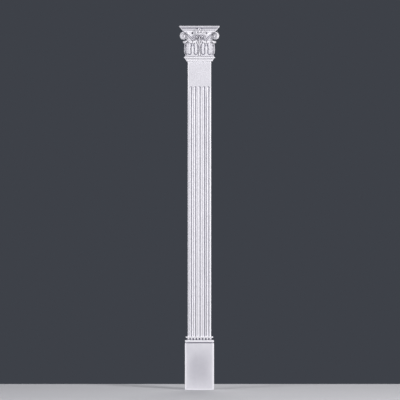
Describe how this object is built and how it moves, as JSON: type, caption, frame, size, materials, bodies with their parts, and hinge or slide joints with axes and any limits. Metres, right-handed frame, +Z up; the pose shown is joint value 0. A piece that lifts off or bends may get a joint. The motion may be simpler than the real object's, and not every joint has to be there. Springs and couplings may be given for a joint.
{
  "type": "corinthian pilaster",
  "caption": "Flat-backed Corinthian wall pilaster: plinth with beaded mouldings, fluted shaft with a plain head, and a carved capital with leaves, volutes and a flower.",
  "frame": {"origin": "on the flat back that lies on the wall, on the centre line, at the underside of the base", "axes": "+Z up along the shaft, +Y into the wall, +X to the right seen from the room"},
  "size_m": [0.21, 0.064, 1.9016],
  "materials": {
    "base_paint": "satin white paint on moulded rigid foam",
    "shaft_paint": "satin white paint on moulded rigid foam",
    "capital_paint": "satin white paint on moulded rigid foam"
  },
  "bodies": {
    "root": {"base": "base_paint", "shaft": "shaft_paint", "capital": "capital_paint"}
  },
  "joints": []
}
